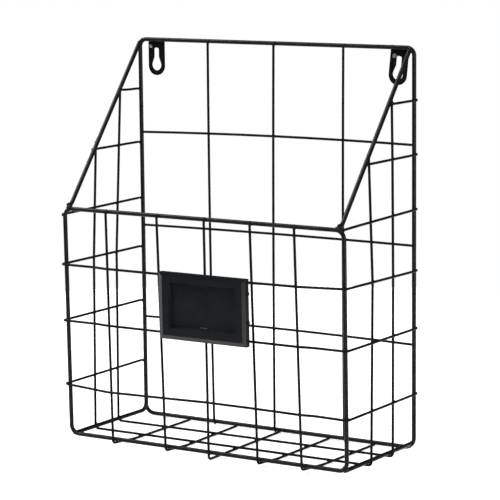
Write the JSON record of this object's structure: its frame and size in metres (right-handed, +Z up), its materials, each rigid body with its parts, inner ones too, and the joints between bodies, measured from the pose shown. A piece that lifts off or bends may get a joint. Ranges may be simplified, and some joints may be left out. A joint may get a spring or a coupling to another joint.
{
  "type": "wall magazine rack",
  "caption": "Black welded-wire wall rack for magazines, with a tall back, slanted side rails, keyhole hanger plates and a clip-on label holder with a slide-out card.",
  "frame": {"origin": "middle of the rack's base: halfway across its width, halfway between the label's front and the hanger plates' back, at the lowest wire", "axes": "+Z up the wall, -Y out from the wall towards the person, +X to the right as the person faces the rack"},
  "size_m": [0.3088, 0.1422, 0.3726],
  "materials": {
    "black_powder_coat": "satin black powder coat on steel wire",
    "black_coated_plate": "satin black powder coat on pressed steel strip",
    "charcoal_plastic": "semi-gloss moulded plastic, charcoal black",
    "dark_card": "smooth dark card, unprinted"
  },
  "bodies": {
    "rack": {"back_crossbar_1": "black_powder_coat", "back_crossbar_2": "black_powder_coat", "back_crossbar_3": "black_powder_coat", "back_frame": "black_powder_coat", "back_upright_1": "black_powder_coat", "back_upright_2": "black_powder_coat", "back_upright_3": "black_powder_coat", "base_rail_left": "black_powder_coat", "base_rail_right": "black_powder_coat", "front_frame": "black_powder_coat", "front_wire_1": "black_powder_coat", "front_wire_2": "black_powder_coat", "front_wire_3": "black_powder_coat", "front_wire_4": "black_powder_coat", "front_wire_5": "black_powder_coat", "hanger_left": "black_coated_plate", "hanger_right": "black_coated_plate", "hoop_lower": "black_powder_coat", "hoop_middle": "black_powder_coat", "hoop_upper": "black_powder_coat", "label_holder": "charcoal_plastic", "short_wire_left_lower": "black_powder_coat", "short_wire_left_middle": "black_powder_coat", "short_wire_left_upper": "black_powder_coat", "short_wire_right_lower": "black_powder_coat", "short_wire_right_middle": "black_powder_coat", "short_wire_right_upper": "black_powder_coat", "side_wire_front": "black_powder_coat", "side_wire_rear": "black_powder_coat", "slant_rail_left": "black_powder_coat", "slant_rail_right": "black_powder_coat"},
    "card": {"label_card": "dark_card"}
  },
  "joints": [
    {"name": "card_slide", "type": "slide", "parent": "rack", "child": "card", "axis": [0, -0.0168, 0.9999], "range_m": [0, 0.056]}
  ]
}
